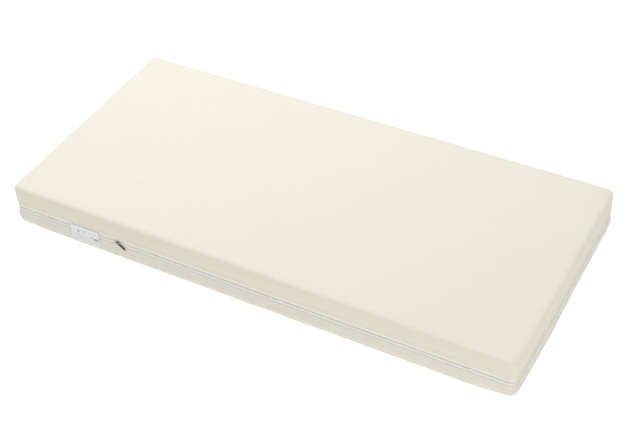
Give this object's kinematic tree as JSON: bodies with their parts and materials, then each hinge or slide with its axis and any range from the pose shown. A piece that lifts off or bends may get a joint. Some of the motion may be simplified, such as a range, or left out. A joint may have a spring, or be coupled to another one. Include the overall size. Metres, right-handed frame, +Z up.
{
  "type": "pressure relief mattress",
  "caption": "Single pressure relief mattress: a zoned foam core in a soft knitted two-part cover with an all-round zip, a slider with a hanging pull and a care label that hangs over the zip.",
  "frame": {"origin": "centre of the underside, which the mattress lies on", "axes": "+X along the length towards the head end, +Z up, -Y on the long side where the zip's slider is parked"},
  "size_m": [1.9, 0.9063, 0.17],
  "materials": {
    "knit_top": "matte cream stretch knit with a faint woven sprig",
    "knit_base": "matte cream stretch knit",
    "zip_tape": "whitish woven polyester tape",
    "zip_coil": "satin white nylon coil",
    "slider_metal": "satin nickel on die-cast zinc",
    "pull_metal": "dark lacquered zinc",
    "label_satin": "white printed satin ribbon",
    "foam_firm": "open-cell foam",
    "foam_rail": "open-cell foam",
    "foam_soft": "open-cell foam",
    "foam_memory": "fine-celled memory foam"
  },
  "bodies": {
    "lower_cover": {"cover_base": "knit_base", "zip_tape_lower": "zip_tape", "zip_coil_lower": "zip_coil", "zip_end_tab": "knit_base"},
    "core": {"base_slab": "foam_firm", "side_bolster_near": "foam_rail", "side_bolster_far": "foam_rail", "transition_layer": "foam_soft", "heel_pad": "foam_memory", "torso_pad": "foam_memory", "head_pad": "foam_memory"},
    "upper_cover": {"cover_top": "knit_top", "zip_tape_upper": "zip_tape", "zip_coil_upper": "zip_coil"},
    "slider": {"zip_slider": "slider_metal"},
    "pull": {"zip_pull_tab": "pull_metal"},
    "label": {"care_label": "label_satin"}
  },
  "joints": [
    {"name": "core_lift", "type": "slide", "parent": "lower_cover", "child": "core", "axis": [0, 0, 1], "range_m": [0, 0.2]},
    {"name": "cover_lift", "type": "slide", "parent": "core", "child": "upper_cover", "axis": [0, 0, 1], "range_m": [0, 0.2]},
    {"name": "slider_travel", "type": "slide", "parent": "lower_cover", "child": "slider", "axis": [1, 0, 0], "range_m": [0, 1.38], "deforming": ["zip_coil_upper", "zip_coil_lower"]},
    {"name": "pull_swing", "type": "hinge", "parent": "slider", "child": "pull", "pos_m": [-0.51105, -0.4524, 0.075], "axis": [0, 1, 0], "range_deg": [-8, 150]},
    {"name": "label_flip", "type": "hinge", "parent": "upper_cover", "child": "label", "pos_m": [-0.648, -0.4506, 0.088], "axis": [-1, 0, 0], "range_deg": [0, 120]}
  ]
}
